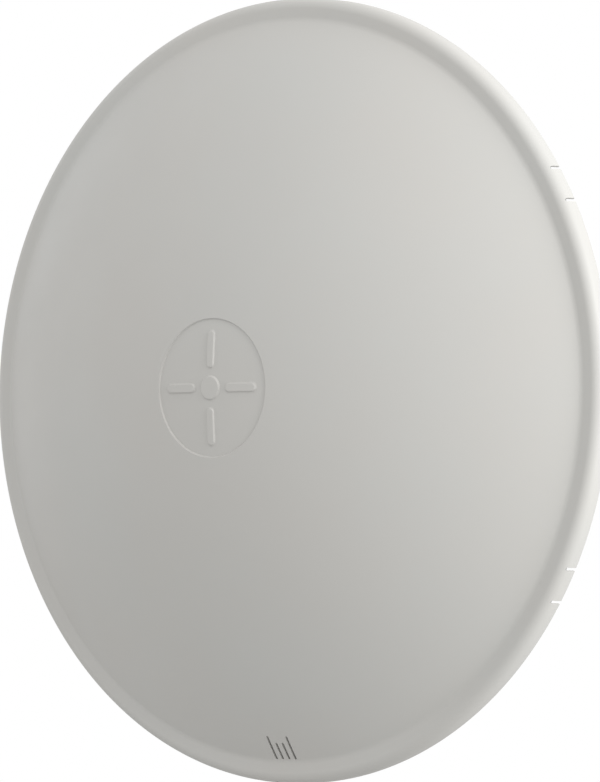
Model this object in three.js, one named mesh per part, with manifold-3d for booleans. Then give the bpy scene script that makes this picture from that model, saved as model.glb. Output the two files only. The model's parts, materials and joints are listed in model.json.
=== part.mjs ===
// Pole-mounted microwave dish antenna with a clip-on radome, in millimetres.
// +Z is up, the boresight is -Y, and the origin is on the pole's axis, level with the dish's centre.
// Sizes along the boresight in the dish group are "u": distance in front of the radome's rim plane.
import * as THREE from "three";
import { mergeVertices } from "three/addons/utils/BufferGeometryUtils.js";
import Module from "manifold-3d";

const wasm = await Module();
wasm.setup();

// ---- Driving dimensions ----
const GAP = 0.3; // between pieces that rest on each other
const SEGMENTS = 48; // round the dish and the radome
const SMALL_SEGMENTS = 20; // round the feed and its pieces
const SHANK_SEGMENTS = 12; // round screws and bolts
const RIM_TO_POLE = 200; // rim plane to the pole's axis

const RADOME = {
  radius: 235,
  wall: 2.4,
  skirtWall: 1.3,
  domeHeight: 72, // apex above the rim plane
  domeEdge: 220.3, // where the dome meets the fillet
  edgeHeight: 0.7, // height there
  fillet: 6,
  flatEnd: 228.6, // where the flat flange turns into the skirt
  skirtBack: -12, // u of the skirt's back edge
  tabs: 6,
  firstTab: 30, // degrees above the horizontal
  tabHalfAngle: 2.7, // centre of a tab to the notch beside it, degrees
  notchWidth: 2.2,
  notchTop: -3.4, // u where a notch ends
};
// Round sight mark sunk in the middle of the dome, with a boss and four bars left standing in it.
const MARK = { radius: 41, depth: 0.9, boss: 7, barFrom: 12, barTo: 34, barHalf: 2.6 };
const DRAIN = { width: 1.6, pitch: 4.9, inner: [206.5, 210.5, 210.5, 206.5], outer: 220.5 };

const DISH = {
  edge: 222, // where the paraboloid ends
  edgeU: -3.4,
  lipRadius: 231.9,
  lipBack: -8,
  bend: 3.4, // outer radius of the rolled lip
  focal: 140,
  flat: 58, // radius of the flat middle
  hole: 26,
  wall: 2.4,
};
const HUB = { radius: 56, thick: 8, bore: 22, boltX: 30, boltZ: 39 };
const FEED = {
  tubeRadius: 20,
  tubeBore: 17,
  mouth: 30, // u of the tube's open end
  coneRadius: 31,
  reflector: 36,
  reflectorU: 50.3,
  reflectorThick: 3,
  capRadius: 39,
  capTop: 57,
  capDepth: 17,
  capWall: 3.4,
};

const STEEL = 3; // thickness of the folded brackets
const PIVOT = { y: -75, z: 0 };
const LOCK_RADIUS = 36; // pivot to the lock bolt above it
const TILT_LIMIT = 20; // degrees each way
const TILT_ARM = { x: 52, back: -64, half: 46 };
const POLE_ARM = { x: 58, front: -96, half: 48, chamfer: 8 };
const POLE_WEB_BACK = -41;
const POLE_RADIUS = 25; // the pole that the clamp is drawn closed on
const V_DEPTH = POLE_RADIUS * Math.SQRT2; // pole's axis to the bottom of a 90 degree notch
const FLANGE_HALF = 45; // half width of the notched flanges
const FLANGE_TIP = 8; // pole's axis to the flange's free edge
const JAW = { webFront: 39, half: 40, boltX: 50, boltEnd: 74 };

const TAIL = { halfX: 38, halfZ: 32, front: -100.3, back: -66, wall: 2.4, coverBack: -60.4 };
const BOARD = { halfX: 34, halfZ: 28, front: -80, thick: 1.6, postX: 29, postZ: 23, postRadius: 3 };
const COVER_SCREW = { x: 33.8, z: 27.8, postRadius: 3.4, length: 9 };
const SHIELD = { halfX: 26, low: -6, high: 22, height: 5, wall: 1 };
const SEAL = 1; // thickness of the cover's seal
const COVER = { rim: 2.6, inset: 3, insetZ: 9 };
const WINDOW = { left: 14, right: 26, front: -76, back: -73 }; // slot for the light pipe
const VENT = { x: 22, y: -87, radius: 7, stem: 5 };
const EARTH = { y: -84, z: -18, lug: 5, tabEnd: 15, tabHalf: 2, thick: 1.2, screw: 5.5, headHeight: 2.6 };
const PORT = { halfX: 8, front: -78, back: -67.6, depth: 13 };
const DOOR = { halfX: 14.5, front: -88, thick: 2, pinY: -63.2, pinZ: -35.4, barrel: 2.6, pin: 1.2 };
const BUTTON = { x: -24, y: -74, radius: 2.2 };

// Thread radius, width across the flats, head or nut height, washer radius and thickness.
const M8 = { shank: 4, flats: 13, height: 5.6, washer: 8.2, washerThick: 1.6, hole: 4.5 };
const M6 = { shank: 3, flats: 10, height: 4.8, hole: 3.4, headRadius: 5.4, headHeight: 3 };
const M4 = { shank: 1.9, headRadius: 3.6, headHeight: 2, hole: 2.3 };

// ---- Materials ----
function paint(color, roughness, metalness) {
  return new THREE.MeshStandardMaterial({ color, roughness, metalness });
}

const LOOKS = {
  radome_plastic: paint(0xd2d1cc, 0.45, 0),
  white_coat: paint(0xe6e6e2, 0.4, 0.1),
  grey_plastic: paint(0xbfc0bd, 0.5, 0),
  zinc_steel: paint(0xa9acad, 0.38, 1),
  cast_aluminium: paint(0xb4b6b8, 0.5, 0.9),
  bare_aluminium: paint(0xc6c8ca, 0.3, 1),
  black_rubber: paint(0x1c1c1d, 0.8, 0),
  board_green: paint(0x1f5a3c, 0.5, 0),
  nickel: paint(0xb9b4a8, 0.3, 1),
  white_polymer: paint(0xe9e8e3, 0.4, 0),
  clear_plastic: paint(0xd9e4e6, 0.15, 0),
  brass: paint(0xb5934c, 0.35, 1),
};

// ---- Solids ----
const radians = THREE.MathUtils.degToRad;

function solidOf(geometry) {
  const bare = geometry.index ? geometry.toNonIndexed() : geometry.clone();
  bare.deleteAttribute("normal");
  bare.deleteAttribute("uv");
  const welded = mergeVertices(bare, 1e-4);
  const faces = [];
  for (let i = 0; i < welded.index.count; i += 3) {
    const [a, b, c] = [0, 1, 2].map((k) => welded.index.getX(i + k));
    if (a !== b && b !== c && a !== c) faces.push(a, b, c);
  }
  const build = (order) =>
    new wasm.Manifold(
      new wasm.Mesh({
        numProp: 3,
        vertProperties: welded.attributes.position.array,
        triVerts: new Uint32Array(order),
      }),
    );
  const made = build(faces);
  return made.volume() < 0 ? build(faces.reverse()) : made;
}

function geometryOf(solid) {
  const mesh = solid.getMesh();
  const geometry = new THREE.BufferGeometry();
  geometry.setAttribute("position", new THREE.BufferAttribute(mesh.vertProperties, 3));
  geometry.setIndex(new THREE.BufferAttribute(mesh.triVerts, 1));
  geometry.computeVertexNormals();
  return geometry;
}

const cut = (solid, ...others) => others.reduce((left, other) => left.subtract(other), solid);
const join = (solid, ...others) => others.reduce((whole, other) => whole.add(other), solid);
const moved = (geometry, x, y, z) => geometry.translate(x, y, z);

// A closed outline turned about Y. Points are [radius, y].
function turned(points, segments = SMALL_SEGMENTS) {
  const closed = points[0][0] > 0 ? [...points, points[0]] : points;
  return solidOf(new THREE.LatheGeometry(closed.map(([r, y]) => new THREE.Vector2(r, y)), segments));
}

// A block between two corners.
function block(x0, x1, y0, y1, z0, z1) {
  const box = new THREE.BoxGeometry(x1 - x0, y1 - y0, z1 - z0);
  return solidOf(moved(box, (x0 + x1) / 2, (y0 + y1) / 2, (z0 + z1) / 2));
}

// A rod along Y, or along X or Z once turned.
function rod(radius, length, axis, x, y, z, segments = SHANK_SEGMENTS) {
  const cylinder = new THREE.CylinderGeometry(radius, radius, length, segments);
  if (axis === "x") cylinder.rotateZ(Math.PI / 2);
  if (axis === "z") cylinder.rotateX(Math.PI / 2);
  return solidOf(moved(cylinder, x, y, z));
}

const arc = (cx, cy, radius, from, to, steps) =>
  Array.from({ length: steps + 1 }, (_, i) => {
    const angle = radians(from + ((to - from) * i) / steps);
    return [cx + radius * Math.sin(angle), cy + radius * Math.cos(angle)];
  });

function piece(name, solid, look, group) {
  const mesh = new THREE.Mesh(geometryOf(solid), LOOKS[look]);
  mesh.name = name;
  group.add(mesh);
  return mesh;
}

// ---- Radome ----
// One side of the shell, from the axis out to the skirt's back edge. The dome and flange are set in
// by "inset" and the skirt by "skirtInset". Points are [radius, u].
function radomeSide(inset, skirtInset, domeSteps, bendSteps) {
  const rise = RADOME.domeHeight - RADOME.edgeHeight;
  const sphere = (RADOME.domeEdge ** 2 + rise ** 2) / (2 * rise);
  const slope = THREE.MathUtils.radToDeg(Math.asin(RADOME.domeEdge / sphere));
  const fillet = RADOME.fillet;
  const flatStart = RADOME.domeEdge + fillet * Math.sin(radians(slope));
  const flat = RADOME.edgeHeight - fillet * (1 - Math.cos(radians(slope)));
  const round = RADOME.radius - RADOME.flatEnd;
  const turn = arc(0, 0, 1, 0, 90, bendSteps + 1);
  return [
    ...arc(0, RADOME.domeHeight - sphere, sphere - inset, 0, slope, domeSteps),
    ...arc(flatStart, flat + fillet, fillet + inset, 180 + slope, 180, bendSteps).slice(1),
    ...turn.map(([x, u]) => [RADOME.flatEnd + (round - skirtInset) * x, flat - round + (round - inset) * u]),
    [RADOME.radius - skirtInset, RADOME.skirtBack],
  ];
}

const toLathe = (points) => points.map(([r, u]) => [r, -u]);

function notch(angle) {
  const height = RADOME.notchTop - RADOME.skirtBack + 2;
  const cutter = new THREE.BoxGeometry(12, height, RADOME.notchWidth);
  cutter.translate(RADOME.radius - 2, -RADOME.notchTop + height / 2, 0);
  cutter.rotateY(-radians(angle));
  return solidOf(cutter);
}

// The space that the sight mark takes out of the shell: its disc, less the boss and bars, down to its floor.
function markCutter() {
  const { radius, depth, boss, barFrom, barTo, barHalf } = MARK;
  const column = (size) => rod(size, 40, "y", 0, -RADOME.domeHeight, 0, SEGMENTS);
  const bars = [0, 90, 180, 270].map((angle) => {
    const bar = new THREE.BoxGeometry(barTo - barFrom, 50, 2 * barHalf);
    bar.translate((barFrom + barTo) / 2, -RADOME.domeHeight, 0);
    return solidOf(bar.rotateY(radians(angle)));
  });
  const side = radomeSide(0, 0, 8, 2);
  const floor = turned([...toLathe(side), [0, -RADOME.skirtBack]], SEGMENTS).translate([0, depth, 0]);
  return cut(column(radius), column(boss), ...bars, floor);
}

function radomeShell() {
  const inside = radomeSide(RADOME.wall, RADOME.skirtWall, 6, 1);
  const outline = [...radomeSide(0, 0, 8, 2), ...inside.reverse()];
  const shell = turned(toLathe(outline), SEGMENTS);
  const notches = [];
  for (let tab = 0; tab < RADOME.tabs; tab += 1) {
    const middle = RADOME.firstTab + (360 / RADOME.tabs) * tab;
    notches.push(notch(middle - RADOME.tabHalfAngle), notch(middle + RADOME.tabHalfAngle));
  }
  const slots = DRAIN.inner.map((inner, i) => {
    const x = (i - 1.5) * DRAIN.pitch;
    return block(x - DRAIN.width / 2, x + DRAIN.width / 2, -20, 10, -DRAIN.outer, -inner);
  });
  return cut(shell, markCutter(), ...notches, ...slots);
}

// ---- Reflector and feed ----
const paraboloid = (r) => DISH.edgeU - (DISH.edge ** 2 - r ** 2) / (4 * DISH.focal);
const DISH_FLAT = paraboloid(DISH.flat);

function reflectorDish() {
  const steps = 6;
  const step = (DISH.edge - DISH.flat) / steps;
  const radii = Array.from({ length: steps + 1 }, (_, i) => DISH.flat + step * i);
  const lip = DISH.lipRadius - DISH.bend;
  const front = [[DISH.hole, DISH_FLAT], ...radii.map((r) => [r, paraboloid(r)])];
  const rolled = [
    [lip, DISH.edgeU],
    [DISH.lipRadius, DISH.edgeU - DISH.bend],
    [DISH.lipRadius, DISH.lipBack],
  ];
  const rolledBack = [
    [DISH.lipRadius - DISH.wall, DISH.lipBack],
    [DISH.lipRadius - DISH.wall, DISH.edgeU - 4],
    [lip - 1, DISH.edgeU - DISH.wall],
  ];
  const back = front.map(([r, u]) => [r, u - DISH.wall]).reverse();
  const shell = turned(toLathe([...front, ...rolled, ...rolledBack, ...back]), SEGMENTS);
  return cut(shell, ...cornerRods(M6.hole, 12, -DISH_FLAT));
}

const CORNERS = [[1, 1], [-1, 1], [-1, -1], [1, -1]];
const cornerPlaces = (x, z) => CORNERS.map(([sideX, sideZ]) => [sideX * x, sideZ * z]);
const hubBoltPlaces = cornerPlaces(HUB.boltX, HUB.boltZ);

// A rod along Y at each of the four hub bolts, centred on y.
const cornerRods = (radius, length, y) => hubBoltPlaces.map(([x, z]) => rod(radius, length, "y", x, y, z));

const HUB_FRONT = -DISH_FLAT + DISH.wall + GAP; // y in the dish group
const HUB_BACK = HUB_FRONT + HUB.thick;
const TILT_WEB_FRONT = HUB_BACK + GAP;
const TILT_WEB_BACK = TILT_WEB_FRONT + STEEL;

function hubCasting() {
  const { radius, bore, thick } = HUB;
  const rim = [[radius, HUB_FRONT], [radius, HUB_FRONT + 3], [radius - 4, HUB_BACK]];
  const disc = turned([[bore, HUB_FRONT], ...rim, [bore, HUB_BACK]], 36);
  const pockets = [0, 90, 180, 270].map((angle) => {
    const pocket = new THREE.BoxGeometry(26, thick, 16);
    pocket.translate(radius - 19, HUB_FRONT + 3 + thick / 2, 0);
    return solidOf(pocket.rotateY(radians(angle)));
  });
  return cut(disc, ...pockets, ...cornerRods(M6.hole, 30, HUB_FRONT));
}

function feedTube(back) {
  const { tubeBore, tubeRadius, mouth } = FEED;
  return turned([[tubeBore, back], [tubeRadius, back], [tubeRadius, -mouth], [tubeBore, -mouth]]);
}

function feedBoot() {
  const bore = FEED.tubeRadius + GAP;
  const base = -DISH_FLAT - GAP;
  const top = base - 26;
  return turned([[bore, base], [34, base], [34, base - 3], [25, base - 9], [bore + 2, top], [bore, top]]);
}

function bootSeal() {
  const face = -DISH_FLAT;
  const inner = FEED.tubeRadius + GAP;
  const outer = DISH.hole - GAP;
  return turned([[inner, face], [outer, face], [outer, face + 2], [inner, face + 2]]);
}

// Polymer cone that carries the sub-reflector: a plug in the tube's mouth, flaring to the plate.
function feedCone() {
  const plug = FEED.tubeBore - GAP;
  const mouth = -FEED.mouth;
  const plate = -FEED.reflectorU + GAP;
  return turned([
    [0, mouth + 14],
    [8, mouth + 14],
    [plug, mouth + 2],
    [plug, mouth - GAP],
    [FEED.tubeRadius + 1, mouth - GAP],
    [FEED.coneRadius, plate + 4],
    [FEED.coneRadius, plate],
    [0, plate],
  ]);
}

function subReflector() {
  const { reflector, reflectorThick } = FEED;
  const back = -FEED.reflectorU;
  const front = back - reflectorThick;
  return turned([[0, back], [reflector, back], [reflector, front + 1], [reflector - 4, front], [0, front]]);
}

function feedCap() {
  const { capRadius, capTop, capDepth, capWall, reflector } = FEED;
  const inner = reflector + GAP;
  return turned([
    [0, -capTop],
    [capRadius - 5, -capTop],
    [capRadius, -capTop + 4],
    [capRadius, -capTop + capDepth],
    [inner, -capTop + capDepth],
    [inner, -capTop + capWall],
    [0, -capTop + capWall],
  ]);
}

// ---- Folded steel brackets ----
const PIVOT_LOCAL = PIVOT.y + RIM_TO_POLE; // y in the dish group

function tiltBracket() {
  const { x, back, half } = TILT_ARM;
  const armBack = back + RIM_TO_POLE;
  const outer = x + STEEL;
  const body = join(
    block(-outer, outer, TILT_WEB_FRONT, TILT_WEB_BACK, -half, half),
    block(x, outer, TILT_WEB_FRONT, armBack, -half, half),
    block(-outer, -x, TILT_WEB_FRONT, armBack, -half, half),
  );
  return cut(
    body,
    rod(FEED.tubeRadius + 3, 20, "y", 0, TILT_WEB_FRONT, 0, SMALL_SEGMENTS),
    rod(M8.hole, 2 * outer + 10, "x", 0, PIVOT_LOCAL, PIVOT.z, 16),
    rod(M8.hole, 2 * outer + 10, "x", 0, PIVOT_LOCAL, PIVOT.z + LOCK_RADIUS, 16),
    ...cornerRods(M6.hole, 20, TILT_WEB_FRONT),
  );
}

// Curved slot for the lock bolts, centred on the pivot, cut along X through both arms.
function lockSlot(length) {
  const sweep = radians(TILT_LIMIT);
  const shape = new THREE.Shape();
  const up = Math.PI / 2;
  const inner = LOCK_RADIUS - M8.hole;
  const outer = LOCK_RADIUS + M8.hole;
  const end = (angle) => [LOCK_RADIUS * Math.cos(angle), LOCK_RADIUS * Math.sin(angle)];
  shape.absarc(0, 0, outer, up - sweep, up + sweep, false);
  shape.absarc(...end(up + sweep), M8.hole, up + sweep, up + sweep + Math.PI, false);
  shape.absarc(0, 0, inner, up + sweep, up - sweep, true);
  shape.absarc(...end(up - sweep), M8.hole, up - sweep + Math.PI, up - sweep + 2 * Math.PI, false);
  const slot = new THREE.ExtrudeGeometry(shape, { depth: length, bevelEnabled: false, curveSegments: 6 });
  const along = new THREE.Matrix4().makeBasis(
    new THREE.Vector3(0, 1, 0),
    new THREE.Vector3(0, 0, 1),
    new THREE.Vector3(1, 0, 0),
  );
  slot.applyMatrix4(along);
  return solidOf(moved(slot, -length / 2, PIVOT.y, PIVOT.z));
}

// A flange with a 90 degree notch for the pole. "side" is -1 in front of the pole and 1 behind it.
function notchedFlange(side, web, z) {
  const shape = new THREE.Shape();
  const reach = V_DEPTH - FLANGE_TIP;
  shape.moveTo(-FLANGE_HALF, side * web);
  shape.lineTo(FLANGE_HALF, side * web);
  shape.lineTo(FLANGE_HALF, side * FLANGE_TIP);
  shape.lineTo(reach, side * FLANGE_TIP);
  shape.lineTo(0, side * V_DEPTH);
  shape.lineTo(-reach, side * FLANGE_TIP);
  shape.lineTo(-FLANGE_HALF, side * FLANGE_TIP);
  const plate = new THREE.ExtrudeGeometry(shape, { depth: STEEL, bevelEnabled: false });
  return solidOf(moved(plate, 0, 0, z));
}

function poleBracket() {
  const { x, front, half } = POLE_ARM;
  const outer = x + STEEL;
  const body = join(
    block(-outer, outer, POLE_WEB_BACK - STEEL, POLE_WEB_BACK, -half, half),
    block(x, outer, front, POLE_WEB_BACK, -half, half),
    block(-outer, -x, front, POLE_WEB_BACK, -half, half),
    notchedFlange(-1, -POLE_WEB_BACK + 1, half - STEEL),
    notchedFlange(-1, -POLE_WEB_BACK + 1, -half),
  );
  const side = POLE_ARM.chamfer * Math.SQRT2;
  const corners = [-1, 1].map((end) => {
    const corner = new THREE.BoxGeometry(2 * outer + 10, side, side);
    return solidOf(moved(corner.rotateX(Math.PI / 4), 0, front, end * half));
  });
  return cut(
    body,
    ...corners,
    rod(M8.hole, 2 * outer + 10, "x", 0, PIVOT.y, PIVOT.z, 16),
    lockSlot(2 * outer + 10),
    ...[-1, 1].map((side) => rod(M8.hole, 20, "y", side * JAW.boltX, POLE_WEB_BACK, 0)),
  );
}

function clampJaw() {
  const outer = POLE_ARM.x + STEEL;
  const body = join(
    block(-outer, outer, JAW.webFront, JAW.webFront + STEEL, -JAW.half, JAW.half),
    notchedFlange(1, JAW.webFront + 1, JAW.half - STEEL),
    notchedFlange(1, JAW.webFront + 1, -JAW.half),
  );
  return cut(body, ...[-1, 1].map((side) => rod(M8.hole, 20, "y", side * JAW.boltX, JAW.webFront, 0)));
}

// ---- Fasteners, each along +Y from the face that its head or nut sits on ----
function hexagon(flats, height, base) {
  const prism = new THREE.CylinderGeometry(flats / Math.sqrt(3), flats / Math.sqrt(3), height, 6);
  return solidOf(moved(prism, 0, base + height / 2, 0));
}

const hexBolt = (size, length) =>
  join(hexagon(size.flats, size.height, -size.height), rod(size.shank, length, "y", 0, length / 2 - 0.5, 0));

const hexNut = (size) => cut(hexagon(size.flats, size.height, 0), rod(size.shank + 0.2, 40, "y", 0, 0, 0));

const washer = (size, thick) =>
  turned([[size.hole, 0], [size.washer, 0], [size.washer, thick], [size.hole, thick]], SHANK_SEGMENTS);

function roundHeadScrew(size, length, headHeight = size.headHeight) {
  return turned(
    [
      [0, -headHeight],
      [size.headRadius * 0.6, -headHeight],
      [size.headRadius, -headHeight * 0.4],
      [size.headRadius, 0],
      [size.shank, 0],
      [size.shank, length],
      [0, length],
    ],
    SHANK_SEGMENTS,
  );
}

// Turns a piece that runs along +Y so that it runs along +X (side 1) or -X (side -1).
function alongX(mesh, side) {
  mesh.rotation.z = (-side * Math.PI) / 2;
  return mesh;
}

// ---- Radio unit, with y measured from the pole's axis ----
const screwPlaces = cornerPlaces(COVER_SCREW.x, COVER_SCREW.z);

function radioHousing() {
  const { halfX, halfZ, front, back, wall } = TAIL;
  const inside = block(-halfX + wall, halfX - wall, front + wall, back + 5, -halfZ + wall, halfZ - wall);
  const root = front + 1;
  const boardBack = BOARD.front - GAP;
  const post = (radius, end) => ([x, z]) => rod(radius, end - root, "y", x, (root + end) / 2, z);
  const boardPosts = cornerPlaces(BOARD.postX, BOARD.postZ).map(post(BOARD.postRadius, boardBack));
  const screwPosts = screwPlaces.map(post(COVER_SCREW.postRadius, back));
  const lugs = [-1, 1].map((side) => {
    const inner = side * (DOOR.halfX + GAP);
    const [low, high] = [inner, inner + side * 3].sort((a, b) => a - b);
    return block(low, high, back - 4, DOOR.pinY + DOOR.barrel, DOOR.pinZ - DOOR.barrel, -halfZ + 0.6);
  });
  const shell = cut(block(-halfX, halfX, front, back, -halfZ, halfZ), inside);
  const opened = cut(
    join(shell, ...boardPosts, ...screwPosts),
    rod(FEED.tubeBore - 1, 20, "y", 0, front, 0, SMALL_SEGMENTS),
    block(-PORT.halfX, PORT.halfX, PORT.front, PORT.back, -halfZ - 2, -halfZ + 6),
    rod(BUTTON.radius + GAP, 20, "z", BUTTON.x, BUTTON.y, -halfZ),
    block(WINDOW.left, WINDOW.right, WINDOW.front, WINDOW.back, -halfZ - 2, -halfZ + 6),
    rod(VENT.stem + GAP, 20, "z", VENT.x, VENT.y, -halfZ),
    rod(M4.shank + GAP, 20, "x", halfX, EARTH.y, EARTH.z),
    ...screwPlaces.map(([x, z]) => rod(M4.shank + GAP, 12, "y", x, back, z)),
  );
  return cut(join(opened, ...lugs), rod(DOOR.pin + 0.2, 60, "x", 0, DOOR.pinY, DOOR.pinZ));
}

function coverSeal() {
  const { halfX, halfZ, back } = TAIL;
  const front = back + GAP;
  const rear = front + SEAL;
  const ring = cut(
    block(-halfX + 1, halfX - 1, front, rear, -halfZ + 1, halfZ - 1),
    block(-halfX + 3, halfX - 3, front - 1, rear + 1, -halfZ + 3, halfZ - 3),
  );
  return cut(ring, ...screwPlaces.map(([x, z]) => rod(M4.shank + 1, 12, "y", x, back, z)));
}

const COVER_FRONT = TAIL.back + SEAL + 2 * GAP;

function radioCover() {
  const { halfX, halfZ, coverBack } = TAIL;
  const raisedX = halfX - COVER.inset;
  const raisedZ = halfZ - COVER.insetZ;
  const plate = join(
    block(-halfX, halfX, COVER_FRONT, COVER_FRONT + COVER.rim, -halfZ, halfZ),
    block(-raisedX, raisedX, COVER_FRONT + 2, coverBack, -raisedZ, raisedZ),
  );
  const screws = screwPlaces.map(([x, z]) => rod(M4.hole, 20, "y", x, COVER_FRONT, z));
  const doorHalf = DOOR.halfX + 4;
  const recess = block(-doorHalf, doorHalf, COVER_FRONT - 1, coverBack + 1, -halfZ - 1, -halfZ + 2.6);
  return cut(plate, ...screws, recess);
}

function circuitBoard() {
  const { halfX, halfZ, front, thick } = BOARD;
  const board = block(-halfX, halfX, front, front + thick, -halfZ, halfZ);
  return cut(board, ...screwPlaces.map(([x, z]) => rod(COVER_SCREW.postRadius + 1.8, 20, "y", x, front, z)));
}

function shieldCan() {
  const { halfX, low, high, height, wall } = SHIELD;
  const open = BOARD.front - GAP;
  const can = block(-halfX, halfX, open - height, open, low, high);
  const inside = block(-halfX + wall, halfX - wall, open - height + wall, open + 1, low + wall, high - wall);
  return cut(can, inside);
}

function ethernetJack() {
  const { halfX, front, back, depth } = PORT;
  const bottom = -TAIL.halfZ + TAIL.wall + GAP;
  const body = block(-halfX, halfX, front, back, bottom, bottom + depth + 2);
  return cut(body, block(-halfX + 1.6, halfX - 1.6, front + 1.2, back - 1.2, bottom - 1, bottom + depth));
}

function lightPipe() {
  const { left, right, front, back } = WINDOW;
  const bottom = -TAIL.halfZ;
  return join(
    block(left + GAP, right - GAP, front + GAP, back - GAP, bottom - 0.6, bottom + 4),
    block(left - 1, right + 1, front - 1, back + 1, bottom + TAIL.wall + GAP, bottom + 5),
  );
}

function portDoor() {
  const { halfX, front, thick, pinY, pinZ, barrel, pin } = DOOR;
  const top = -TAIL.halfZ - GAP - 0.3;
  const plate = block(-halfX, halfX, front, pinY, top - thick, top);
  const notchForCable = rod(3.4, 20, "z", 0, front, top);
  const body = join(cut(plate, notchForCable), rod(barrel, 2 * halfX, "x", 0, pinY, pinZ, 16));
  return cut(body, rod(pin + GAP, 60, "x", 0, pinY, pinZ, 16));
}

function resetButton() {
  const bottom = -TAIL.halfZ;
  return join(
    rod(BUTTON.radius, 5, "z", 0, 0, bottom + 1.5),
    rod(BUTTON.radius + 1.6, 1.4, "z", 0, 0, bottom + TAIL.wall + GAP + 0.7),
  );
}

// ---- Assembly ----
const antenna = new THREE.Group();

const dish = new THREE.Group();
dish.position.y = -RIM_TO_POLE;
antenna.add(dish);

piece("radome_shell", radomeShell(), "radome_plastic", dish);
piece("reflector_dish", reflectorDish(), "white_coat", dish);
piece("hub_casting", hubCasting(), "cast_aluminium", dish);
piece("tilt_bracket", tiltBracket(), "zinc_steel", dish);

const tubeBack = TAIL.front + RIM_TO_POLE - GAP;
piece("feed_tube", feedTube(tubeBack), "bare_aluminium", dish);
piece("feed_boot", feedBoot(), "grey_plastic", dish);
piece("boot_seal", bootSeal(), "black_rubber", dish);
piece("feed_cone", feedCone(), "white_polymer", dish);
piece("sub_reflector", subReflector(), "bare_aluminium", dish);
piece("feed_cap", feedCap(), "grey_plastic", dish);
piece("probe_board", block(-14, 14, tubeBack - 40, tubeBack - 4, -0.8, 0.8), "board_green", dish);

hubBoltPlaces.forEach(([x, z], i) => {
  const bolt = piece(`hub_bolt_${i + 1}`, roundHeadScrew(M6, 22), "zinc_steel", dish);
  bolt.position.set(x, -DISH_FLAT - GAP, z);
  const nut = piece(`hub_nut_${i + 1}`, hexNut(M6), "zinc_steel", dish);
  nut.position.set(x, TILT_WEB_BACK + GAP, z);
});

const radio = new THREE.Group();
antenna.add(radio);
piece("radio_housing", radioHousing(), "grey_plastic", radio);
piece("cover_seal", coverSeal(), "black_rubber", radio);
piece("radio_cover", radioCover(), "grey_plastic", radio);
piece("circuit_board", circuitBoard(), "board_green", radio);
piece("shield_can", shieldCan(), "nickel", radio);
piece("ethernet_jack", ethernetJack(), "nickel", radio);
piece("light_pipe", lightPipe(), "clear_plastic", radio);
piece("port_door", portDoor(), "grey_plastic", radio);
piece("door_pin", rod(DOOR.pin, 2 * DOOR.halfX + 6, "x", 0, DOOR.pinY, DOOR.pinZ), "zinc_steel", radio);
piece("reset_button", resetButton(), "black_rubber", radio).position.set(BUTTON.x, BUTTON.y, 0);

screwPlaces.forEach(([x, z], i) => {
  const screw = piece(`cover_screw_${i + 1}`, roundHeadScrew(M4, COVER_SCREW.length), "zinc_steel", radio);
  screw.position.set(x, COVER_FRONT + COVER.rim + GAP, z);
  screw.rotation.z = Math.PI;
});

// Eye for the earth screw, with a tab hanging from it for the wire.
function groundLug() {
  const { lug, tabEnd, tabHalf, thick } = EARTH;
  const eye = turned([[M4.hole, 0], [lug, 0], [lug, thick], [M4.hole, thick]], 16);
  return join(eye, block(-tabHalf, tabHalf, 0, thick, -tabEnd, -lug + 1.4));
}

function ventPlug() {
  const { radius, stem } = VENT;
  return turned([[0, -3], [radius - 1.2, -3], [radius, -1.6], [radius, 0], [stem, 0], [stem, 4], [0, 4]], 16);
}

const earthScrew = roundHeadScrew(M4, EARTH.screw, EARTH.headHeight);
const earthed = alongX(piece("ground_screw", earthScrew, "brass", radio), -1);
earthed.position.set(TAIL.halfX + EARTH.thick + 2 * GAP, EARTH.y, EARTH.z);
const lug = alongX(piece("ground_lug", groundLug(), "brass", radio), 1);
lug.position.set(TAIL.halfX + GAP, EARTH.y, EARTH.z);

const vent = piece("vent_plug", ventPlug(), "black_rubber", radio);
vent.position.set(VENT.x, VENT.y, -TAIL.halfZ - GAP);
vent.rotation.x = Math.PI / 2;

// Pivot and lock bolts: the head inside the tilt bracket's arm, then spacer, pole bracket's arm,
// washer and nut.
[["left", -1], ["right", 1]].forEach(([side, sign]) => {
  [["pivot", 0], ["lock", LOCK_RADIUS]].forEach(([job, up]) => {
    const place = (mesh, x) => {
      mesh.position.set(sign * x, PIVOT.y, PIVOT.z + up);
      return alongX(mesh, sign);
    };
    const armInner = TILT_ARM.x + STEEL + GAP;
    const armOuter = POLE_ARM.x + STEEL + GAP;
    place(piece(`${job}_bolt_${side}`, hexBolt(M8, 22), "zinc_steel", antenna), TILT_ARM.x - GAP);
    if (job === "pivot") {
      const space = POLE_ARM.x - GAP - armInner;
      place(piece(`pivot_spacer_${side}`, washer(M8, space), "zinc_steel", antenna), armInner);
    }
    place(piece(`${job}_washer_${side}`, washer(M8, M8.washerThick), "zinc_steel", antenna), armOuter);
    place(piece(`${job}_nut_${side}`, hexNut(M8), "zinc_steel", antenna), armOuter + M8.washerThick + GAP);
  });
});

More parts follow.
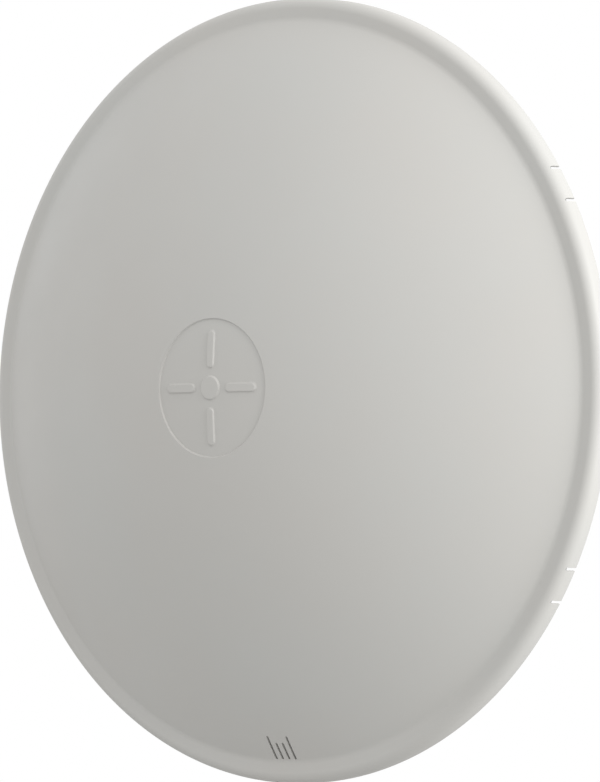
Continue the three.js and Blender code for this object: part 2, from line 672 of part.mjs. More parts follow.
// Clamp on the pole.
piece("pole_bracket", poleBracket(), "zinc_steel", antenna);
piece("clamp_jaw", clampJaw(), "zinc_steel", antenna);
const clampBolt = () => {
  const start = POLE_WEB_BACK - STEEL - GAP;
  const head = turned([[0, start - 4.4], [4.6, start - 4], [7.4, start - 1.2], [7.4, start], [0, start]], 16);
  return join(head, rod(M8.shank, JAW.boltEnd - start + 0.5, "y", 0, (JAW.boltEnd + start - 0.5) / 2, 0));
};
[["left", -1], ["right", 1]].forEach(([side, sign]) => {
  const at = (mesh, y) => mesh.position.set(sign * JAW.boltX, y, 0);
  const behind = JAW.webFront + STEEL + GAP;
  at(piece(`clamp_bolt_${side}`, clampBolt(), "zinc_steel", antenna), 0);
  at(piece(`clamp_washer_${side}`, washer(M8, M8.washerThick), "zinc_steel", antenna), behind);
  at(piece(`clamp_nut_${side}`, hexNut(M8), "zinc_steel", antenna), behind + M8.washerThick + GAP);
});

export default antenna;
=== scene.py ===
"""Looks for the pole-mounted microwave dish antenna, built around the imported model.

Metres, +Z up, the dish looks along -Y."""

import json
import math

import bmesh
import bpy
from mathutils import Matrix, Vector


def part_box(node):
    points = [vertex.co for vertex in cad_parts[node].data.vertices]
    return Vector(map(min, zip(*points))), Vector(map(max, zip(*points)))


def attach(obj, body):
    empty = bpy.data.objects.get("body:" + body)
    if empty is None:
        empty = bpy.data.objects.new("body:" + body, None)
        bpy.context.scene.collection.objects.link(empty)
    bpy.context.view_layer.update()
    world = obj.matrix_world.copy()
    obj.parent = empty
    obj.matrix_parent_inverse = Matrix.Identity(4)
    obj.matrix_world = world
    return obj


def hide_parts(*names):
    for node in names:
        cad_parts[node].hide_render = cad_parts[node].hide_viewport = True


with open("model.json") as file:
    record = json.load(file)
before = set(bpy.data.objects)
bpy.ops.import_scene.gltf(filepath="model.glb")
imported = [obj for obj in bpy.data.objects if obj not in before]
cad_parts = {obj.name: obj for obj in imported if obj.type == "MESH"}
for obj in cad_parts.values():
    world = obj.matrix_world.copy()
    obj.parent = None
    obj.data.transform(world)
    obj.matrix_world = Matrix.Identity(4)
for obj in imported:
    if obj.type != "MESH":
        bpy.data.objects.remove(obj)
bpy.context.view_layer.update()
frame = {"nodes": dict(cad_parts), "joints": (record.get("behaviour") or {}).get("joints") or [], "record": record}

MM = 0.001

# ---- Places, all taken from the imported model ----
RADOME_LOW, RADOME_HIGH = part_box("radome_shell")
SKIRT = 12 * MM  # rim plane to the skirt's back edge
RIM_Y = RADOME_HIGH.y - SKIRT
RIM_RADIUS = RADOME_HIGH.x
DOME_HEIGHT = RIM_Y - RADOME_LOW.y
JOINTS = {joint["name"]: joint for joint in frame["joints"]}
PIVOT_Y = JOINTS["tilt"]["pos_m"][1]

# ---- Radome, as distances from the axis (r) and in front of the rim plane (u) ----
WALL = 2.4 * MM
SKIRT_WALL = 1.3 * MM
DOME_EDGE = 220.3 * MM
EDGE_HEIGHT = 0.7 * MM
FLAT_END = 228.6 * MM
FILLET = 6 * MM
EDGE_ROUND = 0.6 * MM
MARK_RADIUS = 41 * MM
MARK_DEPTH = 0.9 * MM
MARK_SOFT = 0.4 * MM  # half the width of the steps' slopes
MARK_BOSS = 7 * MM
MARK_BAR_MIDDLE = 23 * MM
MARK_BAR_REACH = 8.5 * MM  # from a bar's middle to the centre of its round end
MARK_BAR_HALF = 2.6 * MM
MARK_EDGE_BAND = 1.8 * MM  # on both sides of the mark's edge, where the mesh is finest
TABS = 6
FIRST_TAB = 30  # degrees from +X
TAB_HALF_ANGLE = 2.7  # degrees
NOTCH_WIDTH = 2.2 * MM
NOTCH_TOP = -3.4 * MM
NOTCH_INWARDS = 9 * MM  # how far the cut reaches inside the rim
NOTCH_OUTWARDS = 4 * MM
NOTCH_PAST_SKIRT = 3 * MM
DRAIN_WIDTH = 1.6 * MM
DRAIN_PITCH = 4.9 * MM
DRAIN_INNER = (206.5, 210.5, 210.5, 206.5)  # mm below the axis
DRAIN_OUTER = 220.5  # mm below the axis
DRAIN_ROUND = 0.98  # of the half width
DRAIN_FORWARDS = 30 * MM  # how far the cut reaches in front of the rim plane
DRAIN_BACKWARDS = 8 * MM

# ---- Camera ----
AZIMUTH = math.radians(39.72)  # from straight in front of the dish towards +X
ELEVATION = math.radians(-1.51)
DISTANCE = 4.7
LENS = 361.7  # mm, and so is the sensor's width
SENSOR = 36
AIM_RIGHT = 7.7 * MM  # this and the next are from the rim's centre, as the camera sees it
AIM_UP = -0.4 * MM
FAR_CLIP = 200

# ---- Screws: "shank", "dome" and "hole" are radii, "flats" is across them, "head" is a height ----
M8 = {"shank": 4 * MM, "flats": 13 * MM, "head": 5.6 * MM, "pitch": 1.25 * MM, "hole": 4.5 * MM}
M6 = {"shank": 3 * MM, "flats": 10 * MM, "head": 3 * MM, "pitch": 1 * MM, "hole": 3.4 * MM}
M6["dome"] = 5.4 * MM
M4 = {"shank": 1.9 * MM, "dome": 3.6 * MM, "head": 2 * MM, "pitch": 0.7 * MM}
WASHER_BORE = 4.4 * MM
WASHER_RADIUS = 8.2 * MM

# ---- Sides of a full circle ----
RIM_STEPS = 480
DISH_STEPS = 240
FLOOR_STEPS = 128
FINE = 96
SMALL = 48
BORE_STEPS = 32


# ================= Materials =================


def link(tree, from_socket, to_socket):
    tree.links.new(from_socket, to_socket)


class Look:
    """A Principled material whose colour, roughness and bump come from noise in object space."""

    def __init__(self, name, metallic=0.0, ior=1.5, coat=0.0):
        self.material = bpy.data.materials.new(name)
        self.material.use_nodes = True
        self.tree = self.material.node_tree
        self.shader = self.tree.nodes["Principled BSDF"]
        self.shader.inputs["Metallic"].default_value = metallic
        self.shader.inputs["IOR"].default_value = ior
        self.shader.inputs["Coat Weight"].default_value = coat
        self.place = self.tree.nodes.new("ShaderNodeTexCoord").outputs["Object"]
        self.normal = None

    def stretched(self, scale):
        mapping = self.tree.nodes.new("ShaderNodeMapping")
        mapping.inputs["Scale"].default_value = scale
        link(self.tree, self.place, mapping.inputs["Vector"])
        return mapping.outputs["Vector"]

    def noise(self, scale, detail=3.0, roughness=0.5, stretch=None, distortion=0.0):
        node = self.tree.nodes.new("ShaderNodeTexNoise")
        node.inputs["Scale"].default_value = scale
        node.inputs["Detail"].default_value = detail
        node.inputs["Roughness"].default_value = roughness
        node.inputs["Distortion"].default_value = distortion
        link(self.tree, self.stretched(stretch) if stretch else self.place, node.inputs["Vector"])
        return node.outputs["Fac"]

    def voronoi(self, scale):
        node = self.tree.nodes.new("ShaderNodeTexVoronoi")
        node.inputs["Scale"].default_value = scale
        link(self.tree, self.place, node.inputs["Vector"])
        return node.outputs["Distance"]

    def bands(self, scale, axis, distortion):
        node = self.tree.nodes.new("ShaderNodeTexWave")
        node.bands_direction = axis
        node.inputs["Scale"].default_value = scale
        node.inputs["Distortion"].default_value = distortion
        link(self.tree, self.place, node.inputs["Vector"])
        return node.outputs["Fac"]

    def spread(self, value, low, high, start=0.3, end=0.7):
        node = self.tree.nodes.new("ShaderNodeMapRange")
        node.inputs["From Min"].default_value = start
        node.inputs["From Max"].default_value = end
        node.inputs["To Min"].default_value = low
        node.inputs["To Max"].default_value = high
        link(self.tree, value, node.inputs["Value"])
        return node.outputs["Result"]

    def worn_edges(self):
        geometry = self.tree.nodes.new("ShaderNodeNewGeometry")
        return self.spread(geometry.outputs["Pointiness"], 0.0, 1.0, 0.52, 0.6)

    def mixed(self, factor, first, second):
        node = self.tree.nodes.new("ShaderNodeMix")
        node.data_type = "RGBA"
        link(self.tree, factor, node.inputs["Factor"])
        for socket, value in ((node.inputs["A"], first), (node.inputs["B"], second)):
            if isinstance(value, tuple):
                socket.default_value = (*value, 1.0)
            else:
                link(self.tree, value, socket)
        return node.outputs["Result"]

    def clouded(self, scale, detail, tone, shade):
        """Two tones that drift into each other."""
        return self.mixed(self.spread(self.noise(scale, detail), 0.0, 1.0), tone, shade)

    def colour(self, source):
        link(self.tree, source, self.shader.inputs["Base Color"])
        return self

    def rough(self, value, low, high):
        link(self.tree, self.spread(value, low, high), self.shader.inputs["Roughness"])
        return self

    def bump(self, height, distance):
        node = self.tree.nodes.new("ShaderNodeBump")
        node.inputs["Strength"].default_value = 1.0
        node.inputs["Distance"].default_value = distance
        link(self.tree, height, node.inputs["Height"])
        if self.normal is not None:
            link(self.tree, self.normal, node.inputs["Normal"])
        self.normal = node.outputs["Normal"]
        link(self.tree, self.normal, self.shader.inputs["Normal"])
        return self


def plastic(name, tone, shade, grain, grain_depth, rough_low, rough_high):
    """Moulded plastic: a fine spark-eroded grain, slow flow marks in its colour and a little dust."""
    look = Look(name)
    flow = look.mixed(look.spread(look.noise(5.0, 4.0, distortion=0.6), 0.0, 1.0), tone, shade)
    specks = look.mixed(look.spread(look.noise(900.0, 2.0), 0.0, 0.35, 0.6, 0.8), flow, shade)
    look.colour(specks)
    look.rough(look.noise(60.0, 4.0), rough_low, rough_high)
    look.bump(look.noise(grain, 3.0, 0.6), grain_depth)
    return look.material


def radome_plastic():
    look = Look("radome_plastic", ior=1.45)
    tone, shade, cool = (0.530, 0.519, 0.494), (0.514, 0.503, 0.479), (0.519, 0.522, 0.504)
    flow = look.mixed(look.spread(look.noise(3.5, 3.0, distortion=0.8), 0.0, 1.0), tone, shade)
    cast = look.mixed(look.spread(look.noise(9.0, 2.0), 0.0, 0.6), flow, cool)
    specks = look.mixed(look.spread(look.noise(1400.0, 2.0), 0.0, 0.5, 0.62, 0.8), cast, shade)
    look.colour(specks)
    look.rough(look.noise(25.0, 4.0), 0.46, 0.56)
    look.bump(look.noise(7.0, 1.0), 0.12 * MM)
    look.bump(look.noise(1600.0, 2.0, 0.6), 0.02 * MM)
    return look.material


def powder_coat():
    look = Look("white_coat", coat=0.15)
    look.colour(look.clouded(12.0, 4.0, (0.56, 0.56, 0.55), (0.52, 0.52, 0.515)))
    look.rough(look.noise(90.0, 4.0), 0.44, 0.56)
    look.bump(look.noise(420.0, 2.0, 0.4), 0.09 * MM)
    return look.material


def zinc():
    """Bright zinc plate on rolled steel: soft spangle, rolling marks and brighter rubbed edges."""
    look = Look("zinc_steel", metallic=1.0)
    spangle = look.spread(look.voronoi(160.0), 0.0, 1.0, 0.1, 0.7)
    patches = look.mixed(spangle, (0.27, 0.275, 0.285), (0.36, 0.36, 0.355))
    cloud = look.mixed(look.spread(look.noise(26.0, 5.0), 0.0, 0.7), patches, (0.24, 0.25, 0.26))
    look.colour(look.mixed(look.worn_edges(), cloud, (0.50, 0.50, 0.49)))
    look.rough(look.noise(70.0, 5.0, stretch=(1.0, 1.0, 9.0)), 0.46, 0.6)
    look.bump(look.noise(260.0, 3.0, stretch=(1.0, 1.0, 14.0)), 0.02 * MM)
    return look.material


def bolt_steel():
    look = Look("bolt_steel", metallic=1.0)
    cloud = look.clouded(110.0, 4.0, (0.40, 0.40, 0.40), (0.32, 0.325, 0.34))
    look.colour(look.mixed(look.worn_edges(), cloud, (0.60, 0.60, 0.59)))
    look.rough(look.noise(300.0, 4.0), 0.32, 0.46)
    look.bump(look.noise(900.0, 3.0), 0.015 * MM)
    return look.material


def cast_aluminium():
    look = Look("cast_aluminium", metallic=1.0)
    skin = look.clouded(40.0, 6.0, (0.36, 0.36, 0.37), (0.29, 0.29, 0.30))
    look.colour(look.mixed(look.worn_edges(), skin, (0.50, 0.50, 0.51)))
    look.rough(look.noise(140.0, 4.0), 0.42, 0.6)
    look.bump(look.voronoi(700.0), 0.08 * MM)
    look.bump(look.noise(60.0, 4.0), 0.1 * MM)
    return look.material


def turned_aluminium():
    """Bare aluminium with the fine rings that a lathe leaves."""
    look = Look("bare_aluminium", metallic=1.0)
    tint = look.clouded(30.0, 4.0, (0.64, 0.645, 0.65), (0.56, 0.565, 0.575))
    look.colour(look.mixed(look.worn_edges(), tint, (0.76, 0.76, 0.76)))
    look.rough(look.noise(500.0, 3.0, stretch=(0.2, 8.0, 0.2)), 0.2, 0.34)
    look.bump(look.bands(700.0, "Y", 0.3), 0.012 * MM)
    return look.material


def rubber():
    look = Look("black_rubber")
    look.colour(look.clouded(80.0, 4.0, (0.012, 0.012, 0.013), (0.028, 0.027, 0.026)))
    look.rough(look.noise(200.0, 3.0), 0.6, 0.82)
    look.bump(look.noise(1500.0, 3.0), 0.03 * MM)
    return look.material


def board():
    """Solder mask over copper tracks, with bare pads."""
    look = Look("board_green", coat=0.4)
    tracks = look.spread(look.bands(95.0, "X", 6.0), 0.0, 1.0, 0.62, 0.68)
    mask = look.mixed(tracks, (0.008, 0.075, 0.035), (0.02, 0.15, 0.06))
    pads = look.spread(look.voronoi(260.0), 1.0, 0.0, 0.16, 0.2)
    look.colour(look.mixed(pads, mask, (0.5, 0.42, 0.22)))
    look.rough(look.noise(120.0, 3.0), 0.3, 0.45)
    look.bump(tracks, 0.04 * MM)
    return look.material


def nickel():
    look = Look("nickel", metallic=1.0)
    look.colour(look.clouded(70.0, 4.0, (0.60, 0.57, 0.51), (0.52, 0.50, 0.46)))
    look.rough(look.noise(400.0, 3.0, stretch=(6.0, 1.0, 1.0)), 0.22, 0.36)
    look.bump(look.noise(300.0, 2.0, stretch=(9.0, 1.0, 1.0)), 0.01 * MM)
    return look.material


def brass():
    look = Look("brass", metallic=1.0)
    look.colour(look.clouded(120.0, 4.0, (0.62, 0.43, 0.16), (0.46, 0.31, 0.13)))
    look.rough(look.noise(350.0, 4.0), 0.22, 0.4)
    look.bump(look.noise(800.0, 2.0), 0.012 * MM)
    return look.material


def clear_plastic():
    look = Look("clear_plastic", ior=1.49)
    look.shader.inputs["Transmission Weight"].default_value = 0.85
    look.colour(look.clouded(100.0, 2.0, (0.86, 0.92, 0.93), (0.80, 0.88, 0.90)))
    look.rough(look.noise(300.0, 2.0), 0.08, 0.18)
    look.bump(look.noise(500.0, 2.0), 0.01 * MM)
    return look.material


POLYMER_WHITE = (0.78, 0.77, 0.75), (0.73, 0.72, 0.70)
MOULDED_GREY = (0.50, 0.50, 0.49), (0.46, 0.46, 0.455)

LOOKS = {
    "radome_plastic": radome_plastic(),
    "white_coat": powder_coat(),
    "grey_plastic": plastic("grey_plastic", *MOULDED_GREY, 1100.0, 0.06 * MM, 0.42, 0.58),
    "zinc_steel": zinc(),
    "bolt_steel": bolt_steel(),
    "cast_aluminium": cast_aluminium(),
    "bare_aluminium": turned_aluminium(),
    "black_rubber": rubber(),
    "board_green": board(),
    "nickel": nickel(),
    "white_polymer": plastic("white_polymer", *POLYMER_WHITE, 1300.0, 0.03 * MM, 0.3, 0.42),
    "clear_plastic": clear_plastic(),
    "brass": brass(),
}


# ================= Mesh tools =================


def mesh_from(name, vertices, faces):
    mesh = bpy.data.meshes.new(name)
    mesh.from_pydata(vertices, [], faces)
    work = bmesh.new()
    work.from_mesh(mesh)
    bmesh.ops.remove_doubles(work, verts=work.verts, dist=1e-7)
    bmesh.ops.recalc_face_normals(work, faces=work.faces)
    work.to_mesh(mesh)
    work.free()
    thing = bpy.data.objects.new(name, mesh)
    bpy.context.scene.collection.objects.link(thing)
    return thing


def turned(name, profile, steps=FINE, shape=None):
    """A closed profile of (radius, y) turned about Y.

    "shape" may move a vertex, and is given the vertex's index in the profile."""
    vertices, faces, rings = [], [], []
    for index, (radius, y) in enumerate(profile):
        count = steps if radius > 1e-7 else 1
        rings.append(range(len(vertices), len(vertices) + count))
        for step in range(count):
            angle = 2 * math.pi * step / steps
            point = Vector((radius * math.cos(angle), y, radius * math.sin(angle)))
            vertices.append(shape(index, point) if shape else point)
    pairs = list(zip(rings, rings[1:] + rings[:1]))
    for near, far in pairs:
        if len(near) == 1 and len(far) == 1:
            continue
        for step in range(steps):
            after = (step + 1) % steps
            corners = [near[step % len(near)], near[after % len(near)]]
            corners += [far[after % len(far)], far[step % len(far)]]
            faces.append(list(dict.fromkeys(corners)))
    return mesh_from(name, vertices, faces)


def prism(name, outline, low, high, axis):
    """A closed outline extruded along an axis. Outline points are the other two axes, in order."""
    place = "xyz".index(axis)
    count = len(outline)
    vertices = [(*point[:place], level, *point[place:]) for level in (low, high) for point in outline]
    faces = [list(range(count)), list(range(count, 2 * count))]
    faces += [[i, (i + 1) % count, (i + 1) % count + count, i + count] for i in range(count)]
    return mesh_from(name, vertices, faces)


def rounded_outline(x0, x1, y0, y1, radius):
    """A rectangle with round corners."""
    steps = 6
    left, right, bottom, top = x0 + radius, x1 - radius, y0 + radius, y1 - radius
    points = []
    for cx, cy, start in ((right, top, 0), (left, top, 90), (left, bottom, 180), (right, bottom, 270)):
        for i in range(steps + 1):
            angle = math.radians(start + 90 * i / steps)
            points.append((cx + radius * math.cos(angle), cy + radius * math.sin(angle)))
    return points


def circle_outline(x, y, radius, steps=SMALL):
    angles = [2 * math.pi * i / steps for i in range(steps)]
    return [(x + radius * math.cos(a), y + radius * math.sin(a)) for a in angles]


def joined(things):
    work = bmesh.new()
    for thing in things:
        thing.data.transform(thing.matrix_world)
        work.from_mesh(thing.data)
    mesh = bpy.data.meshes.new("joined")
    work.to_mesh(mesh)
    work.free()
    for thing in things:
        bpy.data.objects.remove(thing)
    whole = bpy.data.objects.new("joined", mesh)
    bpy.context.scene.collection.objects.link(whole)
    return whole


def carved(thing, tools, operation="DIFFERENCE"):
    """Cuts the tools out of a piece, or joins them to it, in one exact boolean.

    The tools don't overlap each other."""
    tool = joined(tools)
    modifier = thing.modifiers.new("carve", "BOOLEAN")
    modifier.operation = operation
    modifier.solver = "EXACT"
    modifier.object = tool
    bpy.context.view_layer.update()
    evaluated = thing.evaluated_get(bpy.context.evaluated_depsgraph_get())
    made = bpy.data.meshes.new_from_object(evaluated)
    thing.modifiers.clear()
    thing.data = made
    bpy.data.objects.remove(tool)
    return thing


def soften(thing, width=0.5 * MM, segments=2, angle=32):
    """Breaks the sharp edges and shades the rest smooth."""
    for face in thing.data.polygons:
        face.use_smooth = True
    thing.data.set_sharp_from_angle(angle=math.radians(angle))
    if width:
        bevel = thing.modifiers.new("edges", "BEVEL")
        bevel.width = width
        bevel.segments = segments
        bevel.limit_method = "ANGLE"
        bevel.angle_limit = math.radians(angle)
        bevel.harden_normals = True


def dress(thing, body, look, *nodes, slot=None):
    thing.data.materials.clear()
    thing.data.materials.append(LOOKS[look])
    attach(thing, body)
    if nodes:
        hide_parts(*nodes)


def evenly(start, end, steps):
    return [start + (end - start) * i / steps for i in range(steps + 1)]


def oval(cx, cy, across, along, angles):
    """Points at angles in degrees: "across" goes with the sine and "along" with the cosine."""
    turns = [math.radians(a) for a in angles]
    return [(cx + across * math.sin(a), cy + along * math.cos(a)) for a in turns]


def arc(cx, cy, radius, start, end, steps):
    """Points round a centre. The angle is from the +y side towards +x, in degrees."""
    return oval(cx, cy, radius, radius, evenly(start, end, steps))


def middle(node):
    low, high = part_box(node)
    return (low + high) / 2


def nearest(node):
    """How far from the plane X = 0 a node starts."""
    low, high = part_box(node)
    return min(abs(low.x), abs(high.x))


def furthest(node):
    """How far from the plane X = 0 a node ends."""
    low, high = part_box(node)
    return max(abs(low.x), abs(high.x))


def smoothstep(value):
    value = min(max(value, 0.0), 1.0)
    return value * value * (3 - 2 * value)


# ================= Radome =================


def radome_side(inset, skirt_inset, dome_radii, bend_steps):
    """Points (r, u) from the axis out to the skirt, for the shell's outside or its inside."""
    rise = DOME_HEIGHT - EDGE_HEIGHT
    sphere = (DOME_EDGE**2 + rise**2) / (2 * rise)
    slope = math.asin(DOME_EDGE / sphere)
    centre = DOME_HEIGHT - sphere
    scale = (sphere - inset) / sphere
    dome = [(r * scale, centre + scale * math.sqrt(sphere**2 - r**2)) for r in dome_radii]
    flat_start = DOME_EDGE + FILLET * math.sin(slope)
    flat = EDGE_HEIGHT - FILLET * (1 - math.cos(slope))
    rim = RIM_RADIUS - FLAT_END
    tilt = 180 + math.degrees(slope)
    foot = arc(flat_start, flat + FILLET, FILLET + inset, tilt, 180, bend_steps)[1:]
    angles = evenly(0, 90, bend_steps + 4)
    return dome + foot + oval(FLAT_END, flat - rim, rim - skirt_inset, rim - inset, angles)


def soft_edge(inwards):
    """0 outside an edge and 1 inside it, given how far inside the edge a point is."""
    return smoothstep(inwards / (2 * MARK_SOFT) + 0.5)


def mark_height(x, z):
    """Height of the sunk disc at the dome's centre, where a boss and four sight bars stand."""
    radius = math.hypot(x, z)
    stands = soft_edge(MARK_BOSS - radius)
    for across, along in ((x, z), (z, x)):
        past_middle = abs(abs(along) - MARK_BAR_MIDDLE)
        bar = math.hypot(across, max(past_middle - MARK_BAR_REACH, 0.0))
        stands = max(stands, soft_edge(MARK_BAR_HALF - bar))
    return -MARK_DEPTH * soft_edge(MARK_RADIUS - radius) * (1 - stands)


def notch(angle):
    """A slot with a round end, cut from the skirt's back edge towards the front."""
    half = NOTCH_WIDTH / 2
    back = RIM_Y + SKIRT + NOTCH_PAST_SKIRT
    front = RIM_Y - NOTCH_TOP + half
    outline = [(back, half), (back, -half)]
    outline += arc(front, 0, half, 180, 360, 12)
    tool = prism("notch", outline, RIM_RADIUS - NOTCH_INWARDS, RIM_RADIUS + NOTCH_OUTWARDS, "x")
    tool.data.transform(Matrix.Rotation(-math.radians(angle), 4, "Y"))
    return tool


def drain(index):
    half = DRAIN_WIDTH / 2
    x = (index - (len(DRAIN_INNER) - 1) / 2) * DRAIN_PITCH
    top = -DRAIN_INNER[index] * MM
    bottom = -DRAIN_OUTER * MM
    outline = rounded_outline(x - half, x + half, bottom, top, half * DRAIN_ROUND)
    return prism("drain", outline, RIM_Y - DRAIN_FORWARDS, RIM_Y + DRAIN_BACKWARDS, "y")


def radome():
    # The rings are close together across the mark, and closest on its edge.
    fine_ring = 0.2 * MM
    inside_mark = evenly(0, MARK_RADIUS - MARK_EDGE_BAND - fine_ring, 78)
    across_edge = evenly(MARK_RADIUS - MARK_EDGE_BAND, MARK_RADIUS + MARK_EDGE_BAND, 18)
    dome = evenly(MARK_RADIUS + MARK_EDGE_BAND + fine_ring, DOME_EDGE, 70)
    marked = len(inside_mark) + len(across_edge)
    outside = radome_side(0.0, 0.0, inside_mark + across_edge + dome, 8)
    back = -SKIRT + EDGE_ROUND
    rounded = [(RIM_RADIUS, back)] + arc(RIM_RADIUS - EDGE_ROUND, back, EDGE_ROUND, 90, 180, 4)[1:]
    inner_edge = RIM_RADIUS - SKIRT_WALL
    rounded += arc(inner_edge + EDGE_ROUND, back, EDGE_ROUND, 180, 270, 4)[1:]
    inside = radome_side(WALL, SKIRT_WALL, evenly(0, DOME_EDGE, 36), 4)
    profile = outside + rounded + inside[::-1]

    def shape(index, point):
        if index < marked:
            point.y -= mark_height(point.x, point.z)
        return point

    shell = turned("radome", [(r, RIM_Y - u) for r, u in profile], RIM_STEPS, shape)
    tools = [drain(index) for index in range(len(DRAIN_INNER))]
    for tab in range(TABS):
        centre = FIRST_TAB + 360 / TABS * tab
        tools += [notch(centre - TAB_HALF_ANGLE), notch(centre + TAB_HALF_ANGLE)]
    carved(shell, tools)
    soften(shell, 0.0, angle=34)
    dress(shell, "radome", "radome_plastic", "radome_shell")


# ================= Reflector and feed =================

DISH_EDGE = 222 * MM
DISH_EDGE_U = -3.4 * MM  # in front of the rim plane, like the radome's u
DISH_FOCAL = 140 * MM
DISH_FLAT = 58 * MM
DISH_FLAT_EDGE = 57.5 * MM
DISH_HOLE = 26 * MM
DISH_WALL = 2.4 * MM
LIP_RADIUS = 231.9 * MM
LIP_BACK = -8 * MM
LIP_BEND = 3.4 * MM
LIP_INNER_BEND = 1.0 * MM
LIP_CURL = 1.2 * MM
LIP_FIN = 0.6 * MM  # from the lip's back to the end of the thin fin at its corner

FIT = 0.3 * MM  # between pieces that rest on each other
TUBE_WALL = 3 * MM
TUBE_GROOVE = ((0, 14), (0.6, 13), (0.6, 11.5), (0, 10.5))  # mm deep, and mm behind the mouth
BOOT_FOOT = 3 * MM
BOOT_FOOT_RADIUS = 34 * MM
BOOT_NECK = 25 * MM
BOOT_DROP = 6 * MM
BOOT_RIBS = (12.5, 16.1, 19.7)  # mm in front of the foot's back
BOOT_RIB = ((24, 0.9), (25, 0), (25, -0.9), (23.9, -1.6))  # radius and y, in mm
BOOT_FRONT_WALL = 2 * MM
CONE_TIP = 8 * MM
CONE_SEAT = 2 * MM
CONE_SHOULDER = 1 * MM
CONE_RADIUS = 31 * MM
CONE_EDGE = 4 * MM
CONE_FLARE = 1.6  # power of the curve from the cone's shoulder to its edge
PLATE_EDGE = 2 * MM
PLATE_SLOPE = 4 * MM
CAP_ROUND = 5 * MM
CAP_FLAT_IN = 9 * MM  # from the cap's side to its flat front
CAP_WALL = 3.4 * MM

HUB_BORE = 22 * MM
HUB_FLOOR = 3 * MM
HUB_SLOPE = 4 * MM
HUB_POCKET = (32 * MM, 6 * MM)  # in from the rim, to a pocket's inner and outer ends
HUB_POCKET_HALF = 8 * MM
HUB_POCKET_CORNER = 4 * MM


def bolt_axes():
    return [middle(f"hub_bolt_{i}") for i in range(1, 5)]


def bolt_holes(low, high):
    """Tools for the four holes that the hub bolts pass through."""
    outlines = [circle_outline(p.x, p.z, M6["hole"], BORE_STEPS) for p in bolt_axes()]
    return [prism("hole", outline, low, high, "y") for outline in outlines]


def reflector():
    def bowl(r):
        return DISH_EDGE_U - (DISH_EDGE**2 - r**2) / (4 * DISH_FOCAL)

    front = [(r, bowl(DISH_FLAT)) for r in (DISH_HOLE, DISH_FLAT_EDGE)]
    front += [(r, bowl(r)) for r in evenly(DISH_FLAT, DISH_EDGE, 48)]
    bend = (LIP_RADIUS - LIP_BEND, DISH_EDGE_U - LIP_BEND)
    rolled = arc(*bend, LIP_BEND, 0, 90, 8)
    rolled += [(LIP_RADIUS, LIP_BACK + LIP_FIN)]
    rolled += arc(LIP_RADIUS - LIP_CURL, LIP_BACK + LIP_CURL, LIP_CURL, 90, 270, 8)
    rolled += arc(*bend, LIP_INNER_BEND, 90, 0, 4)
    behind = [(r, u - DISH_WALL) for r, u in front][::-1]
    profile = [(r, RIM_Y - u) for r, u in front + rolled + behind]
    shell = turned("reflector", profile, DISH_STEPS)
    web = middle("hub_bolt_1").y
    clear = 30 * MM
    carved(shell, bolt_holes(web - clear, web + clear))
    soften(shell, 0.0, angle=30)
    dress(shell, "antenna", "white_coat", "reflector_dish")


def turned_node(node, look, profile):
    """Replaces a round node by a finely turned one."""
    thing = turned(node + "_fine", profile)
    soften(thing, 0.45 * MM, 2, 25)
    dress(thing, "antenna", look, node)


def feed():
    tube_low, tube_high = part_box("feed_tube")
    tube = tube_high.x
    bore = tube - TUBE_WALL
    outside = [(tube, tube_high.y)]
    outside += [(tube - depth * MM, tube_low.y + y * MM) for depth, y in TUBE_GROOVE]
    outside += [(tube, tube_low.y)]
    turned_node("feed_tube", "bare_aluminium", outside + [(bore, tube_low.y), (bore, tube_high.y)])

    low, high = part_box("feed_boot")
    inner = tube + FIT
    foot = high.y - BOOT_FOOT
    sweep = BOOT_FOOT_RADIUS - BOOT_NECK
    skirt = [(inner, high.y), (BOOT_FOOT_RADIUS, high.y), (BOOT_FOOT_RADIUS, foot)]
    skirt += oval(BOOT_FOOT_RADIUS, foot - BOOT_DROP, -sweep, BOOT_DROP, range(10, 91, 10))
    ribs = [(r * MM, high.y - (rib - y) * MM) for rib in BOOT_RIBS for r, y in BOOT_RIB]
    front = [(inner + BOOT_FRONT_WALL, low.y), (inner, low.y)]
    turned_node("feed_boot", "grey_plastic", skirt + ribs + front)

    low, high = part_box("boot_seal")
    seal = (high.x - low.x) / 2
    ring = [(inner, low.y), (seal, low.y), (seal, high.y), (inner, high.y)]
    turned_node("boot_seal", "black_rubber", ring)

    low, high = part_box("feed_cone")
    mouth = tube_low.y - FIT
    shoulder = tube + CONE_SHOULDER
    edge = low.y + CONE_EDGE
    plug = [(0, high.y), (CONE_TIP, high.y), (bore - FIT, tube_low.y + CONE_SEAT), (bore - FIT, mouth)]
    flare = [
        (shoulder + (CONE_RADIUS - shoulder) * t**CONE_FLARE, mouth + (edge - mouth) * t)
        for t in evenly(0, 1, 12)
    ]
    turned_node("feed_cone", "white_polymer", plug + flare + [(CONE_RADIUS, low.y), (0, low.y)])

    low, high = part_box("sub_reflector")
    rim = high.x
    plate = [(0, high.y), (rim, high.y), (rim, high.y - PLATE_EDGE), (rim - PLATE_SLOPE, low.y)]
    turned_node("sub_reflector", "bare_aluminium", plate + [(0, low.y)])

    inner = rim + FIT
    low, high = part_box("feed_cap")
    rim = high.x
    crown = [(0, low.y), (rim - CAP_FLAT_IN, low.y)]
    crown += oval(rim - CAP_ROUND, low.y + CAP_ROUND, CAP_ROUND, -CAP_ROUND, range(0, 91, 10))
    ceiling = low.y + CAP_WALL
    hollow = [(rim, high.y), (inner, high.y), (inner, ceiling), (0, ceiling)]
    turned_node("feed_cap", "grey_plastic", crown + hollow)


